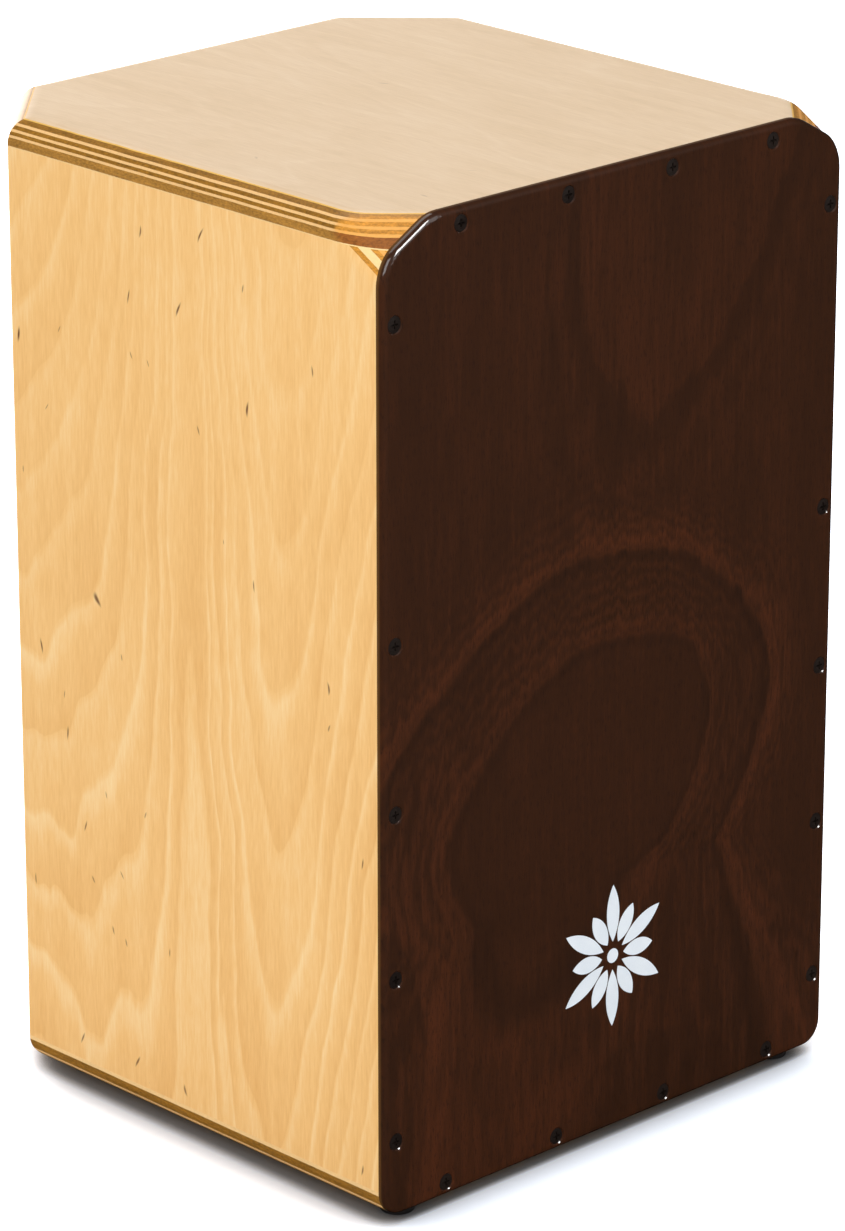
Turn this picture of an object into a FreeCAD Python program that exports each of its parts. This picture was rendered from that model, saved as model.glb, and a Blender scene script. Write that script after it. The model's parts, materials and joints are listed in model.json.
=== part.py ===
import FreeCAD, Part
import math
import os
from FreeCAD import Vector

# A cajon: a plywood box drum that the player sits on and strikes on its front board, the tapa.
#
# Millimetres. +Z is up, the tapa faces -Y, and the drum's own left side is at -X.
# The origin is on the floor, under the middle of the box.

# ---- driving dimensions ---------------------------------------------------------------------
WIDTH = 300.0
BODY_DEPTH = 299.0            # behind the tapa
BODY_HEIGHT = 481.0           # base, sides and seat, without the feet
FOOT_HEIGHT = 5.5
TAPA_THICKNESS = 4.5
SEAT_THICKNESS = 13.2
BASE_THICKNESS = 13.0
WALL = 13.0                   # sides, rear corners and back

REAR_CHAMFER = 47.4           # the rear vertical corners are cut off at 45 degrees
CORNER_CUT = Vector(30.0, 30.0, 17.0)   # front top corner: how far the bevel reaches along X, Y and Z
ROUND_OVER = 12.0             # seat top edges and base bottom edges
BEVEL_ROUND = 18.0            # where a bevel runs into the side
TAPA_EDGE_ROUND = 3.0

SOUND_HOLE_RADIUS = 57.5
SOUND_HOLE_ROUND = 2.0

FOOT_RADIUS = 9.0
FRONT_FOOT_X = 128.5
FRONT_FOOT_INSET = 10.0       # behind the tapa
REAR_FOOT_X = 93.0
REAR_FOOT_INSET = 22.0        # in front of the back

TAPA_SCREW_INSET_SIDE = 7.4
TAPA_SCREW_INSET_TOP = 7.8
TAPA_SCREW_INSET_BOTTOM = 6.9
TAPA_SCREW_HEAD_RADIUS = 4.0
TAPA_SCREW_SHANK_RADIUS = 2.0
TAPA_SCREW_LENGTH = 25.0
TAPA_SCREW_SUNK = 0.5         # the rim of the head lies this far under the tapa's face
TAPA_SCREW_RIM = 0.2          # height of the head's straight rim
TAPA_SCREW_DOME = 0.35
TAPA_SCREW_POINT = 4.0
TAPA_SCREW_RECESS = (0.95, 2.1, 1.1)    # cross recess: arm width, reach and depth
SIDE_SCREW_PITCH = 81.7
SIDE_SCREW_COUNT = 4          # evenly spaced from the bottom; a fifth stands alone near the top
SIDE_SCREW_FIRST = 38.0       # above the tapa's lower edge
SIDE_SCREW_LAST = 434.6       # the free stretch below it lets the upper corner slap
TOP_SCREW_PITCH = 67.8
BOTTOM_SCREW_PITCH = 73.5
ROW_SCREW_COUNT = 4

EMBLEM_RADIUS = 36.5
EMBLEM_HEIGHT = 90.0          # centre above the tapa's lower edge
EMBLEM_THICKNESS = 0.2
EMBLEM_RAYS = 12
EMBLEM_DISC = 0.1             # the rest of the emblem as shares of its radius
EMBLEM_RAY_START = 0.2
EMBLEM_SHORT_RAY = 0.74
EMBLEM_RAY_HALF_WIDTH = 0.11

BAR_RADIUS = 5.0
BAR_END_GAP = 2.0             # between the bar's end and the side panel
BUSH_CLEARANCE = 0.05         # radial, bar in bush
BUSH_RADIUS = 6.5
BUSH_FLANGE = 1.5
BUSH_FLANGE_RADIUS = 8.5
BEARING_REACH = 12.0          # boss, measured from the side panel
BEARING_PLATE = 3.0
END_PLAY = 0.3                # between a bush and the collar or lever beside it
SNARE_LEAN = 10.0             # degrees that the wires lean towards the tapa
SNARE_GAP = 0.3               # wire tips to tapa, with the snare on
SNARE_TIP_HEIGHT = 425.0      # above the floor
SNARE_OFFSET_X = 50.0         # centre of each fan
WIRE_RADIUS = 1.2
WIRE_LENGTH = 108.0
WIRE_COUNT = 10
WIRE_PITCH = 4.6
WIRE_SPREAD = 7.0             # degrees, outermost wires
THROW_ANGLE = 10.0            # degrees that the lever turns from on to off
LEVER_REACH = 112.0

# ---- values worked out from them -------------------------------------------------------------
DEPTH = BODY_DEPTH + TAPA_THICKNESS
TAPA_FACE_Y = -DEPTH / 2
FRONT_Y = TAPA_FACE_Y + TAPA_THICKNESS   # where the body meets the tapa
BACK_Y = DEPTH / 2
BOTTOM_Z = FOOT_HEIGHT
TOP_Z = BOTTOM_Z + BODY_HEIGHT
INNER_X = WIDTH / 2 - WALL
SOUND_HOLE_Z = BOTTOM_Z + BODY_HEIGHT / 2

UP = Vector(0, 0, 1)
BACKWARD = Vector(0, 1, 0)
NEAR = 1e-4                   # for telling which plane an edge lies in
FIT = 0.05                    # holes are this much wider, on the radius, than the screw in them
PAN_HEAD_RADIUS = 1.9         # pan heads, as multiples of the shank's radius
PAN_HEAD_HEIGHT = 1.0


# ---- helpers ------------------------------------------------------------------------------
def save(name, shape):
    """Write one node, checking first that every solid in it is sound."""
    assert shape.Solids and shape.isValid(), name
    shape.exportStep(f"parts/{name}.step")


def prism(outline, low, high):
    """Upright prism from an XY outline."""
    wire = Part.makePolygon([Vector(x, y, low) for x, y in outline + outline[:1]])
    return Part.Face(wire).extrude(Vector(0, 0, high - low))


def box(low, high):
    """Box between two corners."""
    size = high - low
    return Part.makeBox(size.x, size.y, size.z, low)


def turned(profile):
    """Solid of revolution about Z from (radius, height) points."""
    points = [Vector(radius, 0, height) for radius, height in profile + profile[:1]]
    return Part.Face(Part.makePolygon(points)).revolve(Vector(0, 0, 0), UP, 360)


def rod(start, end, radius):
    """Round rod between two points."""
    return Part.makeCylinder(radius, (end - start).Length, start, end - start)


def placed(shape, origin, direction=UP):
    """Copy of a shape made along +Z, moved to origin and pointed along direction."""
    copy = shape.copy()
    copy.Placement = FreeCAD.Placement(origin, FreeCAD.Rotation(UP, direction))
    return copy


def mirrored(shape):
    """The same thing on the other side of the drum."""
    return shape.mirror(Vector(0, 0, 0), Vector(1, 0, 0))


def edges_in(shape, *tests):
    """Edges whose end points all pass every test."""
    return [edge for edge in shape.Edges
            if all(test(vertex.Point) for vertex in edge.Vertexes for test in tests)]


# ---- plywood body --------------------------------------------------------------------------
def plan_corners(inset):
    """Plan outline from the front left corner round; inset moves all but the front edge inward."""
    side = WIDTH / 2 - inset
    rear = BACK_Y - inset
    diagonal = WIDTH / 2 + BACK_Y - REAR_CHAMFER - inset * math.sqrt(2)   # x + y along the cut corner
    return [(-side, FRONT_Y), (side, FRONT_Y), (side, diagonal - side),
            (diagonal - rear, rear), (rear - diagonal, rear), (-side, diagonal - side)]


def front_corner_cutter():
    """Block whose face is the bevel plane at the right front top corner."""
    corner = Vector(WIDTH / 2, FRONT_Y, TOP_Z)
    reach = [corner - Vector(CORNER_CUT.x, 0, 0), corner + Vector(0, CORNER_CUT.y, 0),
             corner - Vector(0, 0, CORNER_CUT.z)]
    middle = (reach[0] + reach[1] + reach[2]) * (1 / 3)
    wide = [middle + (point - middle) * 4 for point in reach]
    outward = (corner - middle).normalize()
    return Part.Face(Part.makePolygon(wide + wide[:1])).extrude(outward * WIDTH / 4)


def body_envelope():
    """The outside of the body as one solid: every panel is a slice of it."""
    shape = prism(plan_corners(0), BOTTOM_Z, TOP_Z)
    cutter = front_corner_cutter()
    shape = shape.cut(cutter).cut(mirrored(cutter))
    corner = edges_in(shape, lambda p: p.z > TOP_Z - CORNER_CUT.z - NEAR,
                      lambda p: abs(p.x) > WIDTH / 2 - NEAR)
    sloping = [edge for edge in corner if abs(edge.Vertexes[0].Z - edge.Vertexes[1].Z) > NEAR]
    shape = shape.makeFillet(BEVEL_ROUND, sloping)
    level = edges_in(shape, lambda p: p.z > TOP_Z - NEAR) + edges_in(shape, lambda p: p.z < BOTTOM_Z + NEAR)
    behind = [edge for edge in level if max(vertex.Y for vertex in edge.Vertexes) > FRONT_Y + NEAR]
    return shape.makeFillet(ROUND_OVER, behind)


def wall_panels(envelope):
    """Five upright panels, mitred where they meet, between base and seat."""
    outer = plan_corners(0)
    inner = plan_corners(WALL)
    names = {1: "side_panel_right", 2: "rear_corner_panel_right", 3: "back_panel",
             4: "rear_corner_panel_left", 5: "side_panel_left"}
    panels = {}
    for start, name in names.items():
        end = (start + 1) % len(outer)
        outline = [outer[start], outer[end], inner[end], inner[start]]
        blank = prism(outline, BOTTOM_Z + BASE_THICKNESS, TOP_Z - SEAT_THICKNESS)
        panels[name] = envelope.common(blank)
    return panels


def tapa_screw_points():
    """Screw centres on the tapa's face: two columns, then the top and bottom rows."""
    points = []
    column = [SIDE_SCREW_FIRST + i * SIDE_SCREW_PITCH for i in range(SIDE_SCREW_COUNT)]
    for height in column + [SIDE_SCREW_LAST]:
        for side in (-1, 1):
            points.append((side * (WIDTH / 2 - TAPA_SCREW_INSET_SIDE), height))
    rows = ((TOP_SCREW_PITCH, BODY_HEIGHT - TAPA_SCREW_INSET_TOP),
            (BOTTOM_SCREW_PITCH, TAPA_SCREW_INSET_BOTTOM))
    for pitch, height in rows:
        for i in range(ROW_SCREW_COUNT):
            points.append(((i - (ROW_SCREW_COUNT - 1) / 2) * pitch, height))
    return [Vector(x, TAPA_FACE_Y, BOTTOM_Z + height) for x, height in points]


def cross_recess(width, reach, depth):
    """Cross-head driver recess, pointing down from z = 0."""
    centre = Part.makeCone(0.3 * reach, width / 2, 1.5 * depth, Vector(0, 0, 0), -UP)
    arm = box(Vector(-reach, -width / 2, -depth), Vector(reach, width / 2, depth))
    return centre.fuse(arm).fuse(arm.rotated(Vector(0, 0, 0), UP, 90))


def tapa_screw():
    """Countersunk cross-head wood screw, its head's rim at z = 0 and its point below."""
    head, shank, dome = TAPA_SCREW_HEAD_RADIUS, TAPA_SCREW_SHANK_RADIUS, TAPA_SCREW_DOME
    neck = -TAPA_SCREW_RIM - (head - shank)
    lower = turned([(0, 0), (head, 0), (head, -TAPA_SCREW_RIM), (shank, neck),
                    (shank, TAPA_SCREW_POINT - TAPA_SCREW_LENGTH), (0, -TAPA_SCREW_LENGTH)])
    ball_radius = (head ** 2 + dome ** 2) / (2 * dome)
    ball = Part.makeSphere(ball_radius, Vector(0, 0, dome - ball_radius))
    cap = Part.makeCylinder(head, 2 * dome).common(ball)
    recess = placed(cross_recess(*TAPA_SCREW_RECESS), Vector(0, 0, dome))
    return lower.fuse(cap).cut(recess)


def tapa_screw_hole():
    """Clearance for a tapa screw: a countersink a little wider than the head, then the shank hole."""
    head, shank = TAPA_SCREW_HEAD_RADIUS + FIT, TAPA_SCREW_SHANK_RADIUS + FIT
    rim = -TAPA_SCREW_RIM - FIT
    end = -TAPA_SCREW_LENGTH - FIT
    mouth = 3 * TAPA_SCREW_SUNK
    return turned([(0, mouth), (head + mouth, mouth), (head, 0), (head, rim), (shank, rim - (head - shank)),
                   (shank, end), (0, end)])


def tapa_board(envelope, holes):
    """Front board: the body's front outline, its front edges rounded and its screw holes sunk."""
    face = next(f for f in envelope.Faces
                if max(v.Y for v in f.Vertexes) < FRONT_Y + NEAR)
    board = face.extrude(Vector(0, -TAPA_THICKNESS, 0))
    rim = edges_in(board, lambda p: p.y < TAPA_FACE_Y + NEAR)
    return board.makeFillet(TAPA_EDGE_ROUND, rim).cut(holes)


def sound_hole():
    """Cutter for the round hole in the back, with both rims eased."""
    radius, ease = SOUND_HOLE_RADIUS, SOUND_HOLE_ROUND
    hole = Part.makeCylinder(radius, WALL)
    flare = Part.makeCylinder(radius + ease, ease)
    torus = Part.makeTorus(radius + ease, ease, Vector(0, 0, ease))
    rim = flare.cut(torus)
    far_rim = rim.mirror(Vector(0, 0, WALL / 2), UP)
    return placed(hole.fuse([rim, far_rim]), Vector(0, BACK_Y - WALL, SOUND_HOLE_Z), BACKWARD)


# ---- emblem -----------------------------------------------------------------------------------
def emblem_ray(inner, outer, half_width):
    """One pointed leaf, flat in XY, its tips on the X axis."""
    middle = (2 * inner + 3 * outer) / 5      # the leaf is widest a little past halfway
    tips = (Vector(inner, 0, 0), Vector(outer, 0, 0))
    upper = Part.Arc(tips[0], Vector(middle, half_width, 0), tips[1]).toShape()
    lower = Part.Arc(tips[1], Vector(middle, -half_width, 0), tips[0]).toShape()
    return Part.Face(Part.Wire([upper, lower])).extrude(Vector(0, 0, EMBLEM_THICKNESS))


def emblem():
    """Printed sunburst: long and short leaves in turn round a small disc."""
    shapes = [Part.makeCylinder(EMBLEM_DISC * EMBLEM_RADIUS, EMBLEM_THICKNESS)]
    start, half_width = EMBLEM_RAY_START * EMBLEM_RADIUS, EMBLEM_RAY_HALF_WIDTH * EMBLEM_RADIUS
    for i in range(EMBLEM_RAYS):
        reach = EMBLEM_RADIUS if i % 2 == 0 else EMBLEM_SHORT_RAY * EMBLEM_RADIUS
        leaf = emblem_ray(start, reach, half_width)
        leaf.rotate(Vector(0, 0, 0), UP, 90 + i * 360 / EMBLEM_RAYS)
        shapes.append(leaf)
    centre = Vector(0, TAPA_FACE_Y, BOTTOM_Z + EMBLEM_HEIGHT)
    return placed(Part.makeCompound(shapes), centre, -BACKWARD)


# ---- feet ----------------------------------------------------------------------------------
FOOT_HOLE_RADIUS = 2.0
FOOT_WELL_RADIUS = 4.8
FOOT_WELL_DEPTH = 3.4
FOOT_TREAD_ROUND = 1.0
WASHER_THICKNESS = 1.0
WASHER_FIT = 0.2              # radial, round the screw and inside the well
FOOT_SCREW_DEPTH = 11.0       # how far the screw goes into the base


def foot_points():
    """Where the four feet stand on the floor."""
    rows = {"front": (FRONT_FOOT_X, FRONT_Y + FRONT_FOOT_INSET),
            "rear": (REAR_FOOT_X, BACK_Y - REAR_FOOT_INSET)}
    return {f"foot_{row}_{side}": Vector(sign * x, y, 0)
            for row, (x, y) in rows.items() for side, sign in (("left", -1), ("right", 1))}


def rubber_foot():
    """Round rubber bumper with a well in its underside for washer and screw head."""
    hole = FOOT_HOLE_RADIUS + FIT
    blank = turned([(hole, FOOT_WELL_DEPTH), (FOOT_WELL_RADIUS, FOOT_WELL_DEPTH), (FOOT_WELL_RADIUS, 0),
                    (0.9 * FOOT_RADIUS, 0), (FOOT_RADIUS, FOOT_HEIGHT), (hole, FOOT_HEIGHT)])
    tread = edges_in(blank, lambda p: p.z < NEAR, lambda p: abs(p.x) > FOOT_WELL_RADIUS + NEAR)
    return blank.makeFillet(FOOT_TREAD_ROUND, tread)


def foot_washer():
    """Flat washer that sits in the roof of the foot's well."""
    hole = FOOT_HOLE_RADIUS + WASHER_FIT
    low = FOOT_WELL_DEPTH - WASHER_THICKNESS
    rim = FOOT_WELL_RADIUS - WASHER_FIT
    return turned([(hole, low), (rim, low), (rim, FOOT_WELL_DEPTH), (hole, FOOT_WELL_DEPTH)])


def pan_screw(shank_radius, length):
    """Pan-head wood screw: the head lies above z = 0 and the shank below."""
    head_radius, head_height = PAN_HEAD_RADIUS * shank_radius, PAN_HEAD_HEIGHT * shank_radius
    blank = turned([(0, head_height), (head_radius, head_height), (head_radius, 0), (shank_radius, 0),
                    (shank_radius, 2 * shank_radius - length), (0, -length)])
    rim = edges_in(blank, lambda p: p.z > head_height - NEAR, lambda p: abs(p.x) > head_radius - NEAR)
    recess = cross_recess(0.25 * head_radius, 0.55 * head_radius, 0.6 * head_height)
    return blank.makeFillet(0.45 * head_height, rim).cut(placed(recess, Vector(0, 0, head_height)))


def foot_screw():
    """Screw that holds a foot, driven upward into the base."""
    reach = FOOT_HEIGHT - FOOT_WELL_DEPTH + WASHER_THICKNESS + FOOT_SCREW_DEPTH
    screw = pan_screw(FOOT_HOLE_RADIUS, reach)
    return placed(screw, Vector(0, 0, FOOT_WELL_DEPTH - WASHER_THICKNESS), -UP)


# ---- snare unit, drawn about the bar's axis and then carried to its place -------------------------
WIRE_START = 18.5             # wires begin this far up from the bar's axis
CLAMP_HALF = Vector(25, 8, 8)
CLAMP_TOP = 18.0
CLAMP_CHAMFER = 1.5
CLAMP_SCREW_X = 18.0
CLAMP_SCREW_UP = 13.0
CLAMP_SCREW_RADIUS = 1.5
CLAMP_SCREW_LENGTH = 9.0
PLATE_THICKNESS = 1.2
PLATE_LAP = 5.5               # how far the plate reaches up the wires
PLATE_CORNER = 2.0
WIRE_LINE = CLAMP_HALF.y + PLATE_THICKNESS + WIRE_RADIUS   # wires' centre line, in front of the axis

TIP_UP = WIRE_START + WIRE_LENGTH
LEAN = math.radians(SNARE_LEAN)
TIP_FORWARD = (WIRE_LINE + WIRE_RADIUS) * math.cos(LEAN) + TIP_UP * math.sin(LEAN)
BAR_Y = FRONT_Y + SNARE_GAP + TIP_FORWARD
BAR_Z = SNARE_TIP_HEIGHT - TIP_UP * math.cos(LEAN)
BAR = Vector(0, BAR_Y, BAR_Z)
BUSH_FACE_X = INNER_X - BEARING_REACH - BUSH_FLANGE        # inner face of each bush's flange

BAR_CHAMFER = 0.8
SET_SCREW_RADIUS = 2.0
SET_SCREW_SUNK = 0.5
SOCKET_DEPTH = 2.0
HUB_RADIUS = 10.0
HUB_WIDTH = 12.0
HUB_X = BUSH_FACE_X - END_PLAY - HUB_WIDTH / 2             # middle of the lever's hub
ARM_HALF_WIDTH = 5.0
ARM_HALF_THICKNESS = 2.5
COLLAR_WIDTH = 8.0
GRIP_LENGTH = 34.0
GRIP_RADIUS = 9.0
GRIP_ROUND = 4.0


def leaned(shape, x=0.0):
    """Tip a shape drawn about the bar's axis towards the tapa, and carry it to the bar."""
    tipped = shape.rotated(Vector(0, 0, 0), Vector(1, 0, 0), SNARE_LEAN)
    return tipped.translated(BAR + Vector(x, 0, 0))


def set_screw(length):
    """Headless screw along +Z from z = 0, with a hexagon socket in its top."""
    reach = 0.55 * SET_SCREW_RADIUS
    turns = [i * math.pi / 3 for i in range(6)]
    corners = [(reach * math.cos(turn), reach * math.sin(turn)) for turn in turns]
    return Part.makeCylinder(SET_SCREW_RADIUS, length).cut(prism(corners, length - SOCKET_DEPTH, length))


def snare_bar():
    """Steel bar across the drum, its ends eased."""
    half = INNER_X - BAR_END_GAP
    bar = rod(BAR - Vector(half, 0, 0), BAR + Vector(half, 0, 0), BAR_RADIUS)
    return bar.makeChamfer(BAR_CHAMFER, edges_in(bar, lambda p: abs(p.x) > half - NEAR))


def snare_clamp():
    """Block bored for the bar, with a face that the wire plate is screwed to."""
    low = Vector(-CLAMP_HALF.x, -CLAMP_HALF.y, -CLAMP_HALF.z)
    block = box(low, Vector(CLAMP_HALF.x, CLAMP_HALF.y, CLAMP_TOP))
    block = block.makeChamfer(CLAMP_CHAMFER, edges_in(block, lambda p: p.y > 0))
    block = block.cut(rod(Vector(low.x, 0, 0), Vector(CLAMP_HALF.x, 0, 0), BAR_RADIUS))
    for x in (-CLAMP_SCREW_X, CLAMP_SCREW_X):
        start = Vector(x, -CLAMP_HALF.y, CLAMP_SCREW_UP)
        block = block.cut(rod(start, start + BACKWARD * CLAMP_SCREW_LENGTH, CLAMP_SCREW_RADIUS + FIT))
    return block.cut(rod(Vector(0, 0, 0), BACKWARD * CLAMP_HALF.y, SET_SCREW_RADIUS))


def snare_plate():
    """Thin plate that the wires' ends are soldered to."""
    low = Vector(-CLAMP_HALF.x, -CLAMP_HALF.y - PLATE_THICKNESS, CLAMP_HALF.z)
    plate = box(low, Vector(CLAMP_HALF.x, -CLAMP_HALF.y, WIRE_START + PLATE_LAP))
    upright = [e for e in plate.Edges if abs(e.Vertexes[0].Y - e.Vertexes[1].Y) > NEAR]
    plate = plate.makeFillet(PLATE_CORNER, upright)
    for x in (-CLAMP_SCREW_X, CLAMP_SCREW_X):
        start = Vector(x, low.y, CLAMP_SCREW_UP)
        plate = plate.cut(rod(start, start + BACKWARD * PLATE_THICKNESS, CLAMP_SCREW_RADIUS + FIT))
    return plate


def snare_wires():
    """Fan of wires, each one splayed a little more than the last."""
    wires = []
    for i in range(WIRE_COUNT):
        step = i - (WIRE_COUNT - 1) / 2
        splay = math.radians(WIRE_SPREAD) * step / ((WIRE_COUNT - 1) / 2)
        start = Vector(step * WIRE_PITCH, -WIRE_LINE, WIRE_START)
        end = start + Vector(math.sin(splay), 0, math.cos(splay)) * WIRE_LENGTH
        wires.append(rod(start, end, WIRE_RADIUS))
    return Part.makeCompound(wires)


def clamp_screws():
    """The screws that hold both wire plates."""
    screw = pan_screw(CLAMP_SCREW_RADIUS, CLAMP_SCREW_LENGTH)
    screws = []
    for fan in (-SNARE_OFFSET_X, SNARE_OFFSET_X):
        for x in (-CLAMP_SCREW_X, CLAMP_SCREW_X):
            origin = Vector(x, -CLAMP_HALF.y - PLATE_THICKNESS, CLAMP_SCREW_UP)
            screws.append(leaned(placed(screw, origin, -BACKWARD), fan))
    return Part.makeCompound(screws)


def clamp_set_screws():
    """One headless screw in the back of each clamp, biting on the bar."""
    length = CLAMP_HALF.y - BAR_RADIUS
    screw = placed(set_screw(length), BACKWARD * BAR_RADIUS, BACKWARD)
    return Part.makeCompound([leaned(screw, x) for x in (-SNARE_OFFSET_X, SNARE_OFFSET_X)])


def ring(width, outer_radius, inner_radius):
    """Ring about the X axis, centred on the origin."""
    start, end = Vector(-width / 2, 0, 0), Vector(width / 2, 0, 0)
    return rod(start, end, outer_radius).cut(rod(start, end, inner_radius))


def bar_collar():
    """Shaft collar that keeps the bar from sliding to the left."""
    collar = ring(COLLAR_WIDTH, HUB_RADIUS, BAR_RADIUS)
    collar = collar.cut(rod(Vector(0, 0, 0), UP * HUB_RADIUS, SET_SCREW_RADIUS))
    return collar.translated(BAR + Vector(END_PLAY + COLLAR_WIDTH / 2 - BUSH_FACE_X, 0, 0))


def snare_lever():
    """Hub on the bar and a flat arm that reaches back towards the sound hole."""
    hub = ring(HUB_WIDTH, HUB_RADIUS, BAR_RADIUS)
    arm = box(Vector(-ARM_HALF_WIDTH, 0.8 * HUB_RADIUS, -ARM_HALF_THICKNESS),
              Vector(ARM_HALF_WIDTH, LEVER_REACH - GRIP_RADIUS, ARM_HALF_THICKNESS))
    lever = hub.fuse(arm).cut(rod(Vector(0, 0, 0), UP * HUB_RADIUS, SET_SCREW_RADIUS))
    return lever.translated(BAR + Vector(HUB_X, 0, 0))


def lever_grip():
    """Round-ended grip pushed over the arm."""
    start = Vector(0, LEVER_REACH - GRIP_LENGTH, 0)
    end = Vector(0, LEVER_REACH, 0)
    grip = rod(start, end, GRIP_RADIUS)
    grip = grip.makeFillet(GRIP_ROUND, edges_in(grip, lambda p: True))
    pocket = box(Vector(-ARM_HALF_WIDTH, start.y, -ARM_HALF_THICKNESS),
                 Vector(ARM_HALF_WIDTH, end.y - GRIP_RADIUS, ARM_HALF_THICKNESS))
    return grip.cut(pocket).translated(BAR + Vector(HUB_X, 0, 0))


def hub_set_screw(x):
    """Headless screw from above through a hub or collar at x."""
    return placed(set_screw(HUB_RADIUS - BAR_RADIUS - SET_SCREW_SUNK), BAR + Vector(x, 0, BAR_RADIUS))


# ---- snare bearings and lever stop, on the side panels ---------------------------------------------
BEARING_HALF_Y = 17.0
BEARING_HALF_Z = 24.0
BEARING_CORNER = 6.0
BEARING_SCREW_Z = 17.0
SMALL_SCREW_RADIUS = 1.75
SMALL_SCREW_DEPTH = 10.0      # how far it goes into the panel
BOSS_RADIUS = 10.0
PAD_THICKNESS = 2.0
STOP_THICKNESS = 2.0
STOP_NEAR = 50.0              # from the bar's axis to the stop
STOP_LENGTH = 22.0
STOP_REACH = 27.0             # how far its shelves stand out from the side panel
STOP_EAR = 13.0
PAD_GAP = 0.3


def bearing():
    """Plate and boss for the right side panel, bored for the bush."""
    plate = box(Vector(INNER_X - BEARING_PLATE, -BEARING_HALF_Y, -BEARING_HALF_Z),
                Vector(INNER_X, BEARING_HALF_Y, BEARING_HALF_Z))
    corners = [edge for edge in plate.Edges if abs(edge.Vertexes[0].X - edge.Vertexes[1].X) > NEAR]
    plate = plate.makeFillet(BEARING_CORNER, corners)
    start, end = Vector(INNER_X - BEARING_REACH, 0, 0), Vector(INNER_X, 0, 0)
    shape = plate.fuse(rod(start, end, BOSS_RADIUS)).cut(rod(start, end, BUSH_RADIUS))
    for z in (-BEARING_SCREW_Z, BEARING_SCREW_Z):
        screw_start = Vector(INNER_X - BEARING_PLATE, 0, z)
        shape = shape.cut(rod(screw_start, Vector(INNER_X, 0, z), SMALL_SCREW_RADIUS + FIT))
    return shape.translated(BAR)


def bush():
    """Flanged nylon bush in the right bearing."""
    inner = BAR_RADIUS + BUSH_CLEARANCE
    sleeve = rod(Vector(INNER_X - BEARING_REACH, 0, 0), Vector(INNER_X, 0, 0), BUSH_RADIUS)
    flange = rod(Vector(BUSH_FACE_X, 0, 0), Vector(BUSH_FACE_X + BUSH_FLANGE, 0, 0), BUSH_FLANGE_RADIUS)
    bore = rod(Vector(BUSH_FACE_X, 0, 0), Vector(INNER_X, 0, 0), inner)
    return sleeve.fuse(flange).cut(bore).translated(BAR)


def stop_levels():
    """Heights, from the bar's axis, of the faces that the upper and lower pads turn to the arm."""
    throw = math.radians(THROW_ANGLE)
    far = STOP_NEAR + STOP_LENGTH
    drop = far * math.sin(throw) + ARM_HALF_THICKNESS * math.cos(throw)
    return ARM_HALF_THICKNESS + PAD_GAP, -drop - PAD_GAP


def stop_screw_heights():
    """Heights of the stop's two screws, from the bar's axis."""
    upper, lower = stop_levels()
    outside = PAD_THICKNESS + STOP_THICKNESS
    return upper + outside + STOP_EAR / 2, lower - outside - STOP_EAR / 2


def lever_stop():
    """Folded steel bracket: a plate on the right side panel with a shelf above and below the arm."""
    upper, lower = stop_levels()
    outside = PAD_THICKNESS + STOP_THICKNESS
    near, far = STOP_NEAR, STOP_NEAR + STOP_LENGTH
    plate = box(Vector(INNER_X - STOP_THICKNESS, near, lower - outside - STOP_EAR),
                Vector(INNER_X, far, upper + outside + STOP_EAR))
    shelves = [box(Vector(INNER_X - STOP_REACH, near, low), Vector(INNER_X, far, low + STOP_THICKNESS))
               for low in (upper + PAD_THICKNESS, lower - outside)]
    shape = plate.fuse(shelves).removeSplitter()
    for z in stop_screw_heights():
        middle = (near + far) / 2
        shape = shape.cut(rod(Vector(INNER_X - STOP_THICKNESS, middle, z), Vector(INNER_X, middle, z),
                              SMALL_SCREW_RADIUS + FIT))
    return shape.translated(BAR)


def stop_pad(low):
    """Felt pad on one shelf of the lever stop."""
    near, far = STOP_NEAR, STOP_NEAR + STOP_LENGTH
    pad = box(Vector(INNER_X - STOP_REACH, near, low),
              Vector(INNER_X - STOP_THICKNESS, far, low + PAD_THICKNESS))
    return pad.translated(BAR)


def wall_screw(origin, length):
    """Pan-head screw driven outward into the right side panel."""
    return placed(pan_screw(SMALL_SCREW_RADIUS, length), BAR + origin, Vector(-1, 0, 0))


def bearing_screws():
    """Two screws in each bearing."""
    screws = [wall_screw(Vector(INNER_X - BEARING_PLATE, 0, z), BEARING_PLATE + SMALL_SCREW_DEPTH)
              for z in (-BEARING_SCREW_Z, BEARING_SCREW_Z)]
    return Part.makeCompound(screws + [mirrored(screw) for screw in screws])


def stop_screws():
    """The lever stop's two screws."""
    middle = STOP_NEAR + STOP_LENGTH / 2
    length = STOP_THICKNESS + SMALL_SCREW_DEPTH
    screws = [wall_screw(Vector(INNER_X - STOP_THICKNESS, middle, z), length) for z in stop_screw_heights()]
    return Part.makeCompound(screws)


def wall_screw_holes():
    """Pilot holes in the right side panel for the bearing and the lever stop."""
    middle = STOP_NEAR + STOP_LENGTH / 2
    places = [(0, -BEARING_SCREW_Z), (0, BEARING_SCREW_Z)]
    places += [(middle, z) for z in stop_screw_heights()]
    depth = Vector(SMALL_SCREW_DEPTH + FIT, 0, 0)
    starts = [BAR + Vector(INNER_X, y, z) for y, z in places]
    return [rod(start, start + depth, SMALL_SCREW_RADIUS + FIT) for start in starts]


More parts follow.
